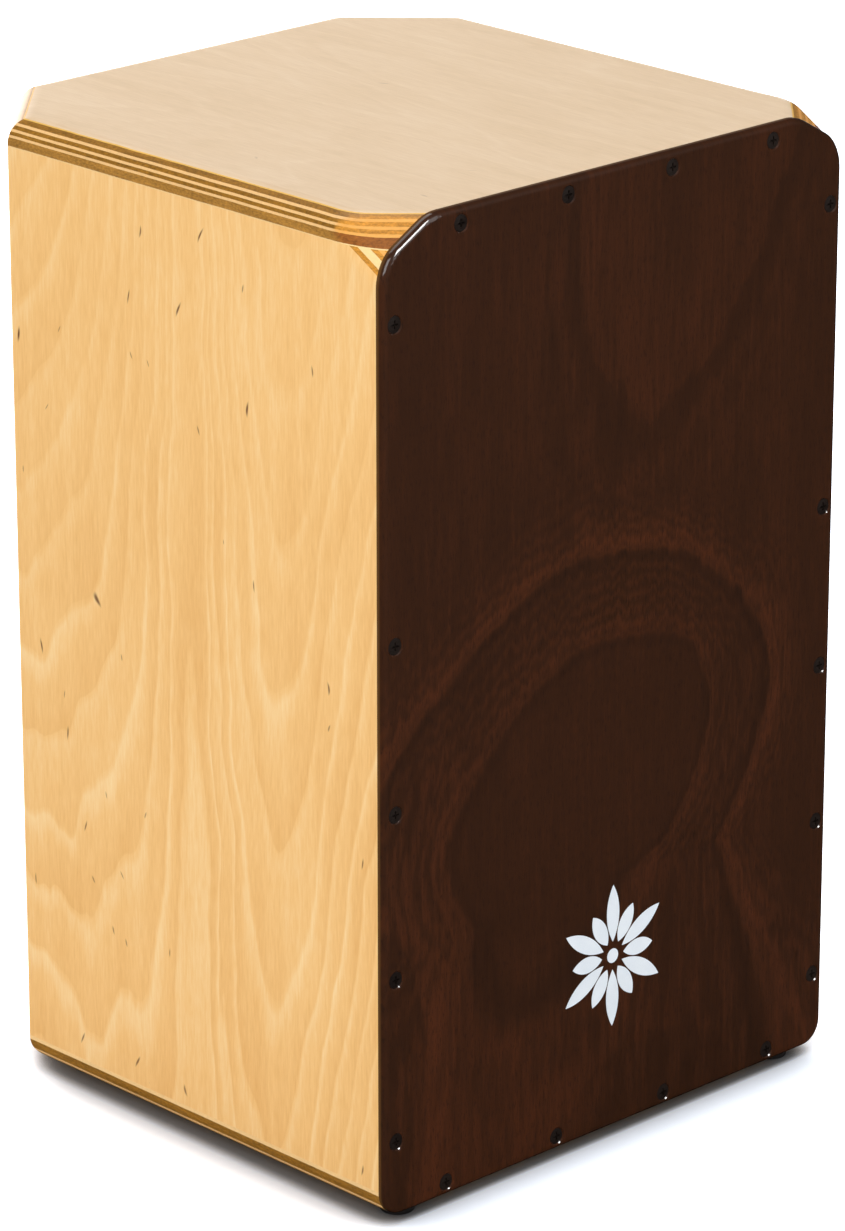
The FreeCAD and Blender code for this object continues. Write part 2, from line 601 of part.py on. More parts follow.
# ---- build ------------------------------------------------------------------------------------
def build_body():
    """Panels, tapa and the screws that hold it."""
    envelope = body_envelope()
    seat_zone = box(Vector(-WIDTH, -WIDTH, TOP_Z - SEAT_THICKNESS), Vector(WIDTH, WIDTH, TOP_Z))
    base_zone = box(Vector(-WIDTH, -WIDTH, BOTTOM_Z), Vector(WIDTH, WIDTH, BOTTOM_Z + BASE_THICKNESS))
    sunk = BACKWARD * TAPA_SCREW_SUNK
    screw_points = [point + sunk for point in tapa_screw_points()]
    hole, screw = tapa_screw_hole(), tapa_screw()
    holes = Part.makeCompound([placed(hole, point, -BACKWARD) for point in screw_points])
    screws = Part.makeCompound([placed(screw, point, -BACKWARD) for point in screw_points])

    panels = wall_panels(envelope)
    panels["back_panel"] = panels["back_panel"].cut(sound_hole())
    small_holes = wall_screw_holes()
    left_holes = [mirrored(hole) for hole in small_holes[:2]]
    panels["side_panel_right"] = panels["side_panel_right"].cut([holes] + small_holes)
    panels["side_panel_left"] = panels["side_panel_left"].cut([holes] + left_holes)
    for name, panel in panels.items():
        save(name, panel)

    foot_holes = [rod(point + UP * BOTTOM_Z, point + UP * (BOTTOM_Z + FOOT_SCREW_DEPTH + FIT),
                      FOOT_HOLE_RADIUS + FIT) for point in foot_points().values()]
    save("seat_panel", envelope.common(seat_zone).cut(holes))
    save("base_panel", envelope.common(base_zone).cut([holes] + foot_holes))
    save("tapa", tapa_board(envelope, holes))
    save("tapa_screws", screws)
    save("front_emblem", emblem())


def build_feet():
    """Four rubber feet, each with a washer and a screw."""
    points = foot_points()
    for name, point in points.items():
        save(name, placed(rubber_foot(), point))
    for name, piece in (("foot_washers", foot_washer()), ("foot_screws", foot_screw())):
        save(name, Part.makeCompound([piece.translated(point) for point in points.values()]))


def build_snare():
    """The bar with its wires and lever, and what carries and stops it."""
    save("snare_bar", snare_bar())
    save("bar_collar", bar_collar())
    save("collar_set_screw", hub_set_screw(END_PLAY + COLLAR_WIDTH / 2 - BUSH_FACE_X))
    for side, x in (("left", -SNARE_OFFSET_X), ("right", SNARE_OFFSET_X)):
        save(f"snare_clamp_{side}", leaned(snare_clamp(), x))
        save(f"snare_plate_{side}", leaned(snare_plate(), x))
        save(f"snare_wires_{side}", leaned(snare_wires(), x))
    save("clamp_screws", clamp_screws())
    save("clamp_set_screws", clamp_set_screws())
    save("snare_lever", snare_lever())
    save("lever_set_screw", hub_set_screw(HUB_X))
    save("lever_grip", lever_grip())
    save("bearing_right", bearing())
    save("bearing_left", mirrored(bearing()))
    save("bush_right", bush())
    save("bush_left", mirrored(bush()))
    save("bearing_screws", bearing_screws())
    save("lever_stop", lever_stop())
    save("stop_screws", stop_screws())
    upper, lower = stop_levels()
    save("stop_pad_upper", stop_pad(upper))
    save("stop_pad_lower", stop_pad(lower - PAD_THICKNESS))


os.makedirs("parts", exist_ok=True)
build_body()
build_feet()
build_snare()
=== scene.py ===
import json
import math

import bpy
from mathutils import Matrix, Vector

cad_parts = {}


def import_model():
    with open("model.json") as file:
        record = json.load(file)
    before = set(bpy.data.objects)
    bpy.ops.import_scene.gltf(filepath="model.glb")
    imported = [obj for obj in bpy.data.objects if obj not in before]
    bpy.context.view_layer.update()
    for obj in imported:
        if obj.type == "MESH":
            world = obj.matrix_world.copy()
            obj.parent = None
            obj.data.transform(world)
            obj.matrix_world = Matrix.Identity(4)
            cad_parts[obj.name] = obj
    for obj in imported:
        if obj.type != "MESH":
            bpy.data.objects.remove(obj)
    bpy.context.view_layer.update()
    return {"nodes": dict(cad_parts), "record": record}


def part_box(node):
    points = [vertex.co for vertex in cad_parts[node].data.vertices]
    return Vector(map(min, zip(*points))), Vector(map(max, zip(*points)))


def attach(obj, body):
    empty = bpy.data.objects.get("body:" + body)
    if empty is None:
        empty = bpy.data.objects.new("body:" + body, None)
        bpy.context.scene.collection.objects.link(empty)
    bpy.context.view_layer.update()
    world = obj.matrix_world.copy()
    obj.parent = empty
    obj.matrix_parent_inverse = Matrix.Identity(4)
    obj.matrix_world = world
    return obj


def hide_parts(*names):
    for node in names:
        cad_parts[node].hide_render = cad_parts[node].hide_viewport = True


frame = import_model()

MM = 0.001
NODES = frame["nodes"]


def srgb(red, green, blue):
    """Linear colour from the usual 0 to 255 values."""
    def linear(v):
        v /= 255
        return v / 12.92 if v <= 0.04045 else ((v + 0.055) / 1.055) ** 2.4
    return (linear(red), linear(green), linear(blue), 1.0)


# ---- node graphs ----------------------------------------------------------------------------
class Value:
    """A number carried by a node socket; arithmetic on it adds the matching math nodes."""

    def __init__(self, graph, socket):
        self.graph = graph
        self.socket = socket

    def __add__(self, other):
        return self.graph.math("ADD", self, other)

    def __radd__(self, other):
        return self.graph.math("ADD", other, self)

    def __sub__(self, other):
        return self.graph.math("SUBTRACT", self, other)

    def __rsub__(self, other):
        return self.graph.math("SUBTRACT", other, self)

    def __mul__(self, other):
        return self.graph.math("MULTIPLY", self, other)

    def __rmul__(self, other):
        return self.graph.math("MULTIPLY", other, self)

    def __truediv__(self, other):
        return self.graph.math("DIVIDE", self, other)

    def abs(self):
        return self.graph.math("ABSOLUTE", self)

    def squared(self):
        return self * self

    def root(self):
        return self.graph.math("SQRT", self)

    def sine(self):
        return self.graph.math("SINE", self)

    def part(self):
        """What is left after the whole number below it is taken away."""
        return self.graph.math("FRACT", self)

    def least(self, other):
        return self.graph.math("MINIMUM", self, other)

    def most(self, other):
        return self.graph.math("MAXIMUM", self, other)

    def between(self, low, high, start=0.0, end=1.0, smooth=True):
        """Map low..high to start..end, held at both ends."""
        node = self.graph.add("ShaderNodeMapRange")
        node.interpolation_type = "SMOOTHSTEP" if smooth else "LINEAR"
        for name, value in (("Value", self), ("From Min", low), ("From Max", high),
                            ("To Min", start), ("To Max", end)):
            self.graph.feed(node.inputs[name], value)
        return Value(self.graph, node.outputs["Result"])


class Graph:
    """Node tree of one material, with a short call for each kind of node that is used here."""

    def __init__(self, name):
        self.material = bpy.data.materials.new(name)
        self.material.use_nodes = True
        self.tree = self.material.node_tree
        self.surface = self.tree.nodes["Principled BSDF"]
        place = self.add("ShaderNodeTexCoord")
        self.x, self.y, self.z = self.split(place.outputs["Object"])
        self.nx, self.ny = self.split(place.outputs["Normal"])[:2]

    def add(self, kind):
        return self.tree.nodes.new(kind)

    def feed(self, socket, value):
        if isinstance(value, Value):
            value = value.socket
        if isinstance(value, bpy.types.NodeSocket):
            self.tree.links.new(value, socket)
        else:
            socket.default_value = value

    def split(self, vector):
        node = self.add("ShaderNodeSeparateXYZ")
        self.feed(node.inputs[0], vector)
        return [Value(self, output) for output in node.outputs]

    def join(self, x, y, z=0.0):
        node = self.add("ShaderNodeCombineXYZ")
        for socket, value in zip(node.inputs, (x, y, z)):
            self.feed(socket, value)
        return node.outputs[0]

    def math(self, operation, *values):
        node = self.add("ShaderNodeMath")
        node.operation = operation
        for socket, value in zip(node.inputs, values):
            self.feed(socket, value)
        return Value(self, node.outputs[0])

    def noise(self, vector, detail=2.0, roughness=0.5):
        """Smooth noise from 0 to 1, one bump per unit of vector."""
        node = self.add("ShaderNodeTexNoise")
        self.feed(node.inputs["Vector"], vector)
        self.feed(node.inputs["Scale"], 1.0)
        self.feed(node.inputs["Detail"], detail)
        self.feed(node.inputs["Roughness"], roughness)
        return Value(self, node.outputs["Fac"])

    def noise_line(self, value, detail=1.0):
        """Smooth noise from 0 to 1 along one number."""
        node = self.add("ShaderNodeTexNoise")
        node.noise_dimensions = "1D"
        self.feed(node.inputs["W"], value)
        self.feed(node.inputs["Scale"], 1.0)
        self.feed(node.inputs["Detail"], detail)
        return Value(self, node.outputs["Fac"])

    def cells(self, vector):
        """Distance to the nearest scattered point, and two random numbers of that point's own."""
        node = self.add("ShaderNodeTexVoronoi")
        node.voronoi_dimensions = "2D"
        self.feed(node.inputs["Vector"], vector)
        self.feed(node.inputs["Scale"], 1.0)
        self.feed(node.inputs["Randomness"], 1.0)
        return Value(self, node.outputs["Distance"]), *self.split(node.outputs["Color"])[:2]

    def mix(self, share, first, second, blend="MIX"):
        """Colour between first (share 0) and second (share 1)."""
        node = self.add("ShaderNodeMix")
        node.data_type = "RGBA"
        node.blend_type = blend
        for name, value in (("Factor_Float", share), ("A_Color", first), ("B_Color", second)):
            socket = next(s for s in node.inputs if s.identifier == name)
            self.feed(socket, value)
        return next(s for s in node.outputs if s.identifier == "Result_Color")

    def ramp(self, value, stops, interpolation="LINEAR"):
        """Colour read from (position, colour) stops."""
        node = self.add("ShaderNodeValToRGB")
        self.feed(node.inputs[0], value)
        ramp = node.color_ramp
        ramp.interpolation = interpolation
        while len(ramp.elements) < len(stops):
            ramp.elements.new(1.0)
        for element, (position, colour) in zip(ramp.elements, stops):
            element.position = position
            element.color = colour
        return node.outputs["Color"]

    def curve(self, value, points):
        """Smooth curve from 0 to 1 through a few (input, output) points."""
        node = self.add("ShaderNodeFloatCurve")
        self.feed(node.inputs["Value"], value)
        line = node.mapping.curves[0]
        line.points[0].location, line.points[1].location = points[0], points[-1]
        for x, y in points[1:-1]:
            line.points.new(x, y)
        node.mapping.update()
        return Value(self, node.outputs["Value"])

    def bump(self, height, depth):
        """Normal tilted by height (0 to 1), whose full range is depth metres."""
        node = self.add("ShaderNodeBump")
        self.feed(node.inputs["Height"], height)
        self.feed(node.inputs["Distance"], depth)
        self.feed(node.inputs["Strength"], 1.0)
        return node.outputs["Normal"]

    def finish(self, **values):
        """Set the surface's inputs by name, with _ for a space."""
        for name, value in values.items():
            self.feed(self.surface.inputs[name.replace("_", " ")], value)
        return self.material


def paint(node_name, material):
    """Give a CAD node its material."""
    mesh = NODES[node_name].data
    mesh.materials.clear()
    mesh.materials.append(material)


# ---- measurements from the frame --------------------------------------------------------------
TAPA_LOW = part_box("tapa")[0]
SIDE_LOW, SIDE_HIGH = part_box("side_panel_left")
SEAT_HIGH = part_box("seat_panel")[1]
BASE_LOW, BASE_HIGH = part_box("base_panel")
HALF_WIDTH = SEAT_HIGH.x
FRONT_Y = SIDE_LOW.y
SIDE_REAR_Y = SIDE_HIGH.y
BACK_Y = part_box("back_panel")[1].y
SEAT_TOP = SEAT_HIGH.z
BASE_BOTTOM = BASE_LOW.z


# ---- birch plywood ---------------------------------------------------------------------------
# Plies from the outer face inward: how deep each ends, in mm, and how its cut edge looks.
SEAT_PLIES = ((0.6, "face"), (0.9, "glue"), (2.45, "dark"), (3.45, "light"), (5.0, "dark"),
              (6.05, "light"), (7.6, "dark"), (8.75, "light"), (12.7, "thick"), (13.2, "pale"))
BASE_PLIES = ((0.8, "light"), (4.1, "thick"), (5.75, "light"), (10.9, "dark"), (13.0, "pale"))
WALL_PLIES = ((0.9, "face"), (1.8, "dark"), (3.7, "pale"), (5.1, "dark"), (6.5, "light"),
              (7.9, "dark"), (9.3, "light"), (10.7, "dark"), (12.1, "light"), (13.0, "face"))
# Colour of each kind where the edge is cut straight, and where a bevel cuts it on the slant.
PLY_TONES = {"face": (srgb(240, 204, 152), srgb(243, 200, 132)),
             "pale": (srgb(244, 201, 138), srgb(250, 216, 152)),
             "glue": (srgb(236, 186, 92), srgb(240, 180, 84)),
             "light": (srgb(238, 191, 128), srgb(241, 174, 88)),
             "dark": (srgb(150, 103, 30), srgb(206, 140, 50)),
             "thick": (srgb(170, 120, 48), srgb(156, 92, 34))}
COARSE_PLIES = ("dark", "thick")      # plies that show end grain
COARSE_GRIT, FINE_GRIT = 0.75, 0.15   # how uneven the two kinds look
PLY_WANDER = 0.25                     # how far the glue lines wander, in mm
REAR_EDGE_PAINTED_SHEEN = 0.62                  # painted sheen: how far the rear corners' cut edges are painted in face colour, for the pale line they show where light grazes them


def ply_stack(graph, position, plies, pick):
    """Colour of the ply at position (0 to 1 through the stack), where pick gives it for each kind."""
    total = plies[-1][0]
    starts = [0.0] + [end / total for end, kind in plies[:-1]]
    stops = [(start, pick(kind)) for start, (end, kind) in zip(starts, plies)]
    return graph.ramp(position, stops, "CONSTANT")


def ply_number(graph, position, plies, pick):
    """Like ply_stack, for a plain number."""
    grey = ply_stack(graph, position, plies, lambda kind: (pick(kind),) * 3 + (1,))
    return graph.split(grey)[0]


def plywood(depth, plies, slant, veneer):
    """Plywood seen on any surface. depth: metres from the outer face; slant: 1 where the surface runs
    diagonally; veneer: colour of the faces. Returns the colour, and 1 where a face ply shows."""
    graph = depth.graph
    wander = graph.noise(graph.join(graph.x * 70, graph.y * 70, graph.z * 70)) - 0.5
    position = (depth / MM + wander * PLY_WANDER) / plies[-1][0]
    straight = ply_stack(graph, position, plies, lambda kind: PLY_TONES[kind][0])
    slanted = ply_stack(graph, position, plies, lambda kind: PLY_TONES[kind][1])
    is_face = ply_number(graph, position, plies, lambda kind: float(kind == "face"))
    rough = ply_number(graph, position, plies,
                       lambda kind: COARSE_GRIT if kind in COARSE_PLIES else FINE_GRIT)
    grit = graph.noise(graph.join(graph.x * 520, graph.y * 520, graph.z * 1300), 3.0, 0.6)
    drift = graph.noise(graph.join(graph.x * 45, graph.y * 45, graph.z * 500), 2.0)
    shade = 1 + (grit - 0.5) * rough * 2.1 + (drift - 0.5) * rough * 1.1
    core = graph.mix(slant, straight, slanted)
    core = graph.mix(1.0, core, graph.join(shade, shade, shade), "MULTIPLY")
    # Painted sheen: cut edges on the rear diagonals take the face colour, standing in for the pale
    # highlight along them.
    rear = slant * graph.ny.between(0.0, 0.2) * REAR_EDGE_PAINTED_SHEEN
    return graph.mix(is_face.most(rear), core, veneer), is_face


def ring_tone(graph, field, streak):
    """Light and dark of growth rings, one ring per unit of field. Each ring darkens up to a crisp edge,
    where the next one starts with a pale streak; streak is the share of the ring that it fills."""
    ring = field.part()
    strength = graph.noise_line((field - ring) * 0.77, 0.0).between(0.25, 0.75, 0.35, 1.0)
    pale = ring.between(0.0, 0.1) * ring.between(0.05, streak, 1.0, 0.0)
    dark = ring * ring * ring.between(0.97, 1.0, 1.0, 0.0)
    return (pale - dark * 0.85) * strength


def birch(graph, rings, tones, u, v, figure=1.0):
    """Veneer colour and its fibre, from the tone of its rings. u runs across the grain and v along it,
    in metres; figure is how strongly the rings show."""
    fibre = graph.noise(graph.join(u * 900, v * 75), 3.0, 0.65)
    streaks = graph.noise(graph.join(u * 170, v * 5, 3.0), 2.0)
    mottle = graph.noise(graph.join(u * 24, v * 8, 8.0), 3.0, 0.55)
    tone = rings * 0.27 * figure + (fibre - 0.5) * 0.75 + (streaks - 0.5) * 0.35 + (mottle - 0.5) * 0.5
    return graph.ramp(tone + 0.5, [(0.0, tones[0]), (0.5, tones[1]), (1.0, tones[2])]), fibre


def flecks(graph, u, v, share):
    """Scattered short dark marks along the grain, up to 1 in a mark; share of the cells that have one."""
    lean = graph.noise(graph.join(u * 14, v * 14)) - 0.5
    distance, chance, size = graph.cells(graph.join(u * 100 + lean * 7, v * 26))
    size = size.squared()
    mark = distance.between(0.02, 0.055 + size * 0.08, 1.0, 0.0)
    return mark * chance.between(1 - share, 1 - share + 0.002) * (0.55 + size * 0.45)


SIDE_RING_COUNT = 11
QUIET_RING_COUNT = 14
# Both curves run from rear to front, 0 to 1: where in the stack of rings the side's top edge lies, and
# how much of the stack is crossed from there to the bottom edge.
SIDE_TOP_RINGS = ((0.0, 0.0), (0.15, 0.13), (0.3, 0.38), (0.42, 0.74), (0.5, 0.96), (0.57, 0.74),
                  (0.66, 0.42), (0.78, 0.26), (0.88, 0.36), (1.0, 0.52))
SIDE_RINGS_DOWN = ((0.0, 1.0), (0.25, 0.68), (0.42, 0.25), (0.5, 0.08), (0.6, 0.3), (0.78, 0.6),
                   (1.0, 0.8))


def side_field(graph, u, v, seed):
    """Growth rings of a side's veneer: they stand upright in the middle, fan out towards the rear and
    hang in nested loops near the front. u runs from rear to front and v from bottom to top, 0 to 1."""
    wave = graph.noise(graph.join(u * 8, v * 2.5, seed), 1.5) - 0.5
    unrest = u.between(0.15, 0.5, 0.26, 0.06) * v.between(0.1, 0.8, 1.0, 0.25)
    v = v + wave * unrest + (graph.noise(graph.join(u * 22, v * 8, seed + 2), 2.0) - 0.5) * 0.012
    u = u + (graph.noise(graph.join(u * 3, v * 5, seed + 5), 2.0) - 0.5) * 0.07
    rings = graph.curve(u, SIDE_TOP_RINGS) + graph.curve(u, SIDE_RINGS_DOWN) * (1 - v)
    return SIDE_RING_COUNT * rings


def quiet_field(graph, u, v, seed):
    """Growth rings for the panels that show less figure: tall loops from stretched noise."""
    low = graph.noise(graph.join(u * 2.2 + seed, v * 1.1, seed), 1.5)
    ripple = graph.noise(graph.join(u * 14 + seed, v * 4, seed), 2.0)
    return low * QUIET_RING_COUNT + ripple * 0.6


SIDE_TONES = (srgb(230, 170, 92), srgb(247, 195, 122), srgb(255, 219, 160))
# The seat is the same birch as the sides, painted paler and greyer: painted sheen of the overhead light on
# its lacquered top.
SEAT_SHEEN_TONES = (srgb(214, 184, 144), srgb(232, 203, 168), srgb(246, 223, 193))
FLECK_COLOUR = srgb(96, 50, 16)
PORE_DEPTH = 0.00002          # relief of the wood's pores, in metres


def lacquered(graph, surface, fibre):
    """Thin satin lacquer over wood, duller on cut edges. surface: colour, and 1 on a face."""
    colour, is_face = surface
    return graph.finish(Base_Color=colour, Roughness=0.36 + (fibre - 0.5) * 0.12,
                        Specular_IOR_Level=0.35 + 0.15 * is_face,
                        Normal=graph.bump(fibre, PORE_DEPTH))


def diagonal(graph):
    """1 where the surface runs diagonally between the front or back and a side."""
    return (graph.nx * graph.ny).abs().between(0.03, 0.17)


def side_material(name, side):
    """Side panel: ply depth counts inward from its outer face. side is -1 on the left and 1 on the
    right, which shows the same kind of figure shifted along and from another seed."""
    graph = Graph(name)
    depth = HALF_WIDTH - graph.x * side
    u = (SIDE_REAR_Y - graph.y) / (SIDE_REAR_Y - FRONT_Y)
    v = (graph.z - BASE_HIGH.z) / (SIDE_HIGH.z - BASE_HIGH.z)
    field = side_field(graph, u if side < 0 else u * 0.85 + 0.05, v, 1.0 + side)
    middle = (u - 0.53).abs().between(0.0, 0.2, 0.55, 0.42)
    rings = ring_tone(graph, field, middle) * v.between(0.35, 0.9, 1.0, 0.55)
    veneer, fibre = birch(graph, rings, SIDE_TONES, graph.y, graph.z)
    where = (graph.noise(graph.join(u * 2.5, v * 2.5, 4.0 + side)).between(0.35, 0.6, 0.03, 0.26)
             * u.between(0.3, 0.7, 1.0, 0.4))
    veneer = graph.mix(flecks(graph, graph.y, graph.z, where), veneer, FLECK_COLOUR)
    return lacquered(graph, plywood(depth, WALL_PLIES, diagonal(graph), veneer), fibre)


def corner_material(name, side):
    """Diagonal rear corner panel: ply depth counts inward from its outer face."""
    graph = Graph(name)
    root = math.sqrt(2)
    depth = (HALF_WIDTH + SIDE_REAR_Y - graph.x * side - graph.y) / root
    across = (graph.x * side - graph.y) / root
    rings = ring_tone(graph, quiet_field(graph, across * 6, graph.z * 2.1, 3.0 + side), 0.2)
    veneer, fibre = birch(graph, rings, SIDE_TONES, across, graph.z)
    veneer = graph.mix(flecks(graph, across, graph.z, 0.015), veneer, FLECK_COLOUR)
    return lacquered(graph, plywood(depth, WALL_PLIES, 0.0, veneer), fibre)


def back_material(name):
    """Back panel: ply depth counts forward from its outer face; the plies show in the sound hole."""
    graph = Graph(name)
    rings = ring_tone(graph, quiet_field(graph, graph.x * 5, graph.z * 2.1, 11.0), 0.2)
    veneer, fibre = birch(graph, rings, SIDE_TONES, graph.x, graph.z)
    veneer = graph.mix(flecks(graph, graph.x, graph.z, 0.02), veneer, FLECK_COLOUR)
    return lacquered(graph, plywood(BACK_Y - graph.y, WALL_PLIES, 0.0, veneer), fibre)


def flat_material(name, depth_of, plies, tones, seed, figure):
    """Seat or base: ply depth counts from its outer face; the face grain runs front to back."""
    graph = Graph(name)
    rings = ring_tone(graph, quiet_field(graph, graph.x * 5, graph.y * 2.2, seed), 0.25)
    veneer, fibre = birch(graph, rings, tones, graph.x, graph.y, figure)
    veneer = graph.mix(flecks(graph, graph.x, graph.y, 0.01) * figure, veneer, FLECK_COLOUR)
    return lacquered(graph, plywood(depth_of(graph), plies, diagonal(graph), veneer), fibre)


# ---- dark front board --------------------------------------------------------------------------
TAPA_DEEP = srgb(37, 20, 8)
TAPA_MID = srgb(59, 30, 11)
TAPA_WARM = srgb(90, 43, 17)
TAPA_PLY = srgb(120, 82, 36)          # its cut edge, next to the body
TAPA_INSIDE = (srgb(188, 140, 88), srgb(216, 172, 118))      # its bare inner face
STAIN_DEPTH, BARE_DEPTH = 2.2 * MM, 3.6 * MM      # from the front: the stain fades out between them

# The figure is drawn from ovals: middles, from the board's middle and lower edge, and half sizes, in mm.
LOOP_X, LOOP_Z, LOOP_SIZE, LOOP_TURN = -21, 183, (88, 62), 24      # closed figure, turned in degrees
LOOP_OPENS_BELOW = 130        # under this height the loop spreads towards the lower edge
HANGING_X, HANGING_Z, HANGING_SIZE, HANGING_LEAN = 60, 520, (75, 165), 0.25      # hangs from the top
PATCH_X, PATCH_SIZE = 28, (62, 42)                    # at the lower edge
CORNER_X, CORNER_Z, CORNER_SIZE = -155, 62, (34, 90)      # at the lower left

# Tone across the two main figures, by distance / 4 and by distance / 2; 0.5 changes nothing.
LOOP_TONES = ((0.0, 0.50), (0.1, 0.50), (0.2, 0.47), (0.236, 0.42), (0.25, 0.22), (0.258, 0.72),
              (0.29, 0.60), (0.34, 0.50), (0.385, 0.42), (0.397, 0.16), (0.408, 0.86), (0.44, 0.64),
              (0.5, 0.50), (0.7, 0.52), (1.0, 0.5))
HANGING_TONES = ((0.0, 0.35), (0.2, 0.5), (0.35, 0.66), (0.48, 0.62), (0.495, 0.22), (0.52, 0.34),
                 (0.56, 0.5), (1.0, 0.5))


def oval(dx, dz, size):
    """Distance from an oval's middle: 1 on its outline."""
    return ((dx / size[0]).squared() + (dz / size[1]).squared()).root()


def tapa_loop(x, z, jag):
    """Distance in the closed figure low on the tapa: 1 on the inner loop and 1.6 on the outer one, which
    opens downward. x from the middle and z from the lower edge, in mm."""
    turn = math.radians(LOOP_TURN)
    dx, dz = x - LOOP_X, z - LOOP_Z
    along = dx * math.cos(turn) + dz * math.sin(turn)
    across = dz * math.cos(turn) - dx * math.sin(turn)
    loop = oval(along, across, LOOP_SIZE) + jag
    loop = loop / (1 + 0.011 * (LOOP_OPENS_BELOW - z).most(0.0))
    narrowing = 1 + 0.0052 * (x - 20).least(40).most(-40)      # of the bands between loops, to the right
    return 1 + (loop - 1) * narrowing


def tapa_tone(graph, x, z):
    """Light and dark of the tapa's figure, 0 where it is plain; x and z as in tapa_loop."""
    warp = graph.noise(graph.join(x / 60, z / 80), 2.0) - 0.5
    teeth = graph.noise(graph.join(x / 6, z / 40, 2.0), 3.0, 0.6) - 0.5
    loop = tapa_loop(x, z, warp * 0.28 + teeth * 0.17)
    hanging_x = x - HANGING_X + HANGING_LEAN * (HANGING_Z - z)
    hanging = oval(hanging_x, z - HANGING_Z, HANGING_SIZE) + warp * 0.3 + teeth * 0.16
    low_patch = oval(x - PATCH_X, z, PATCH_SIZE) + warp * 0.4 + teeth * 0.2
    corner = oval(x - CORNER_X, z - CORNER_Z, CORNER_SIZE) + teeth * 0.12
    figure = graph.curve(loop / 4, LOOP_TONES) - 0.5
    hung = graph.curve(hanging / 2, HANGING_TONES) - 0.5
    lines = (loop * 64 + teeth * 9).sine() * loop.between(0.9, 1.15, 0.25, 1.0)
    lines = lines * loop.between(1.6, 2.4, 1.0, 0.0)
    layers = (hanging * 34 + teeth * 5).sine() * hanging.between(0.9, 1.0)
    layers = layers * hanging.between(1.2, 1.6, 1.0, 0.0)
    grain = graph.noise(graph.join(x * 0.42, z / 38, 7.0), 3.0, 0.6) - 0.5
    broad = graph.noise(graph.join(x / 24, z / 150, 9.0), 2.0) - 0.5
    rim = corner.between(0.9, 1.0, -0.05, 0.10) * corner.between(1.1, 1.6, 1.0, 0.0)
    tone = figure * 0.52 + hung * hanging.between(1.3, 1.6, 0.35, 0.0) + rim
    tone = tone - low_patch.between(0.94, 1.0, 0.06, 0.0)
    return tone + lines * 0.08 + layers * 0.04 + grain * 0.5 + broad * 0.2


def tapa_material(name):
    """Dark stained rotary-cut face under glossy lacquer, and a bare pale inner face."""
    graph = Graph(name)
    x = graph.x / MM
    z = (graph.z - TAPA_LOW.z) / MM
    tone = tapa_tone(graph, x, z)
    pores = graph.noise(graph.join(x * 1.3, z / 5), 3.0, 0.65)
    colour = graph.ramp(tone + 0.5, [(0.0, TAPA_DEEP), (0.5, TAPA_MID), (1.0, TAPA_WARM)])
    colour = graph.mix(pores.between(0.52, 0.66) * 0.6, colour, TAPA_DEEP)
    cut = (graph.y - TAPA_LOW.y).between(STAIN_DEPTH, BARE_DEPTH, 0.0, 0.5)
    colour = graph.mix(cut, colour, TAPA_PLY)
    inside = graph.ny.between(0.5, 0.9)
    colour = graph.mix(inside, colour, graph.mix((tone + 0.5).between(0.2, 0.8), *TAPA_INSIDE))
    return graph.finish(Base_Color=colour, Roughness=0.5, Specular_IOR_Level=0.08,
                        Normal=graph.bump(pores, PORE_DEPTH), Coat_Weight=0.9 - 0.9 * inside,
                        Coat_Roughness=0.07 + (pores - 0.5) * 0.04, Coat_IOR=1.5)


# ---- small parts ------------------------------------------------------------------------------
def speckled(name, colour, other, roughness, metallic=0.0, scale=600.0, depth=0.00004, shine=0.5):
    """Fine-grained surface between two colours (0 to 255): moulded rubber or plastic, felt, cast or plated
    metal. scale: grains per metre; depth: their relief in metres; shine: reflection seen face on."""
    graph = Graph(name)
    grain = graph.noise(graph.join(graph.x * scale, graph.y * scale, graph.z * scale), 3.0, 0.6)
    broad = graph.noise(graph.join(graph.x * 60, graph.y * 60, graph.z * 60), 2.0)
    share = grain * 0.6 + broad * 0.4
    blend = graph.mix(share.between(0.3, 0.7), srgb(*colour), srgb(*other))
    return graph.finish(Base_Color=blend, Metallic=metallic, Specular_IOR_Level=shine,
                        Roughness=roughness + (share - 0.5) * 0.3, Normal=graph.bump(grain, depth))


# Slot of the record: colour, other colour, roughness, then metallic, scale, depth and shine as needed.
SMALL_FINISHES = {
    "black_screw": ((25, 18, 15), (44, 34, 28), 0.36, 0.0, 1500, 0.00002, 0.25),
    "black_steel": ((22, 22, 24), (44, 44, 46), 0.35, 0.8, 1500),
    "steel": ((168, 168, 172), (196, 197, 200), 0.30, 1.0, 900, 0.00001),
    "polished_steel": ((196, 198, 202), (214, 216, 218), 0.12, 1.0, 400, 0.000004),
    "alloy": ((164, 166, 170), (190, 192, 196), 0.42, 1.0, 700, 0.00002),
    "brass_plate": ((188, 150, 80), (214, 178, 104), 0.28, 1.0, 800, 0.00001),
    "snare_wire": ((182, 184, 188), (206, 208, 212), 0.22, 1.0, 2000, 0.00001),
    "grip": ((24, 24, 26), (40, 40, 42), 0.55),
    "nylon": ((214, 210, 196), (230, 226, 214), 0.45),
    "felt": ((50, 50, 54), (88, 88, 92), 0.95, 0.0, 2500, 0.0004),
    "rubber": ((26, 24, 23), (42, 38, 36), 0.6, 0.0, 1200),
    "print": ((232, 238, 243), (244, 248, 250), 0.4, 0.0, 2500, 0.000004),
}


